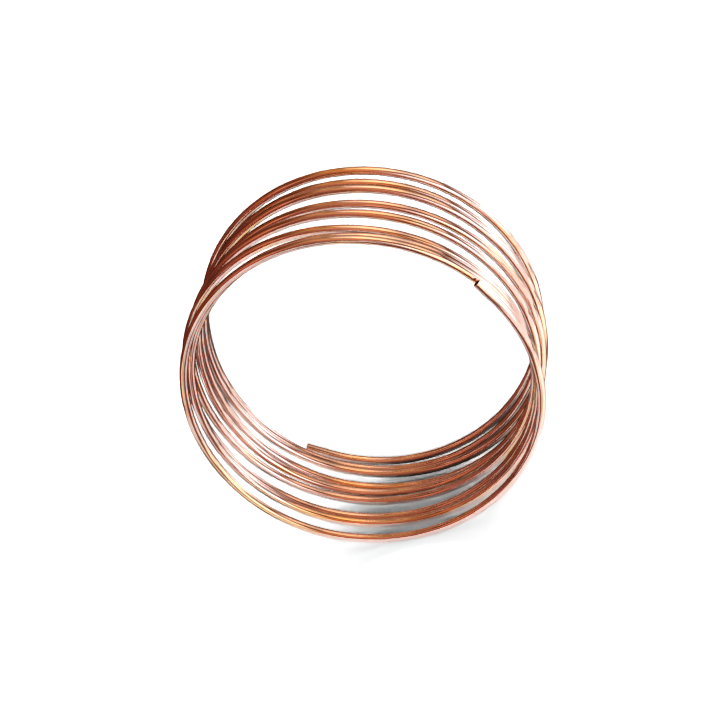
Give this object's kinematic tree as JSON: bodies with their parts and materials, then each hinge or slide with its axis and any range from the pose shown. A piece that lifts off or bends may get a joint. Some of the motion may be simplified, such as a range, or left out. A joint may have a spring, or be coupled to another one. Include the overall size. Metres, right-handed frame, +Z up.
{
  "type": "copper tube coil",
  "caption": "Loose open coil of soft round copper tube, standing on its rim, with both cut ends open.",
  "frame": {"origin": "on the floor, below the middle of the coil's box", "axes": "+Z up; Y runs along the coil's axis, with the near end of the tube toward -Y"},
  "size_m": [0.2706, 0.112, 0.2661],
  "materials": {
    "copper": "polished"
  },
  "bodies": {
    "root": {"copper_tube": "copper"}
  },
  "joints": []
}
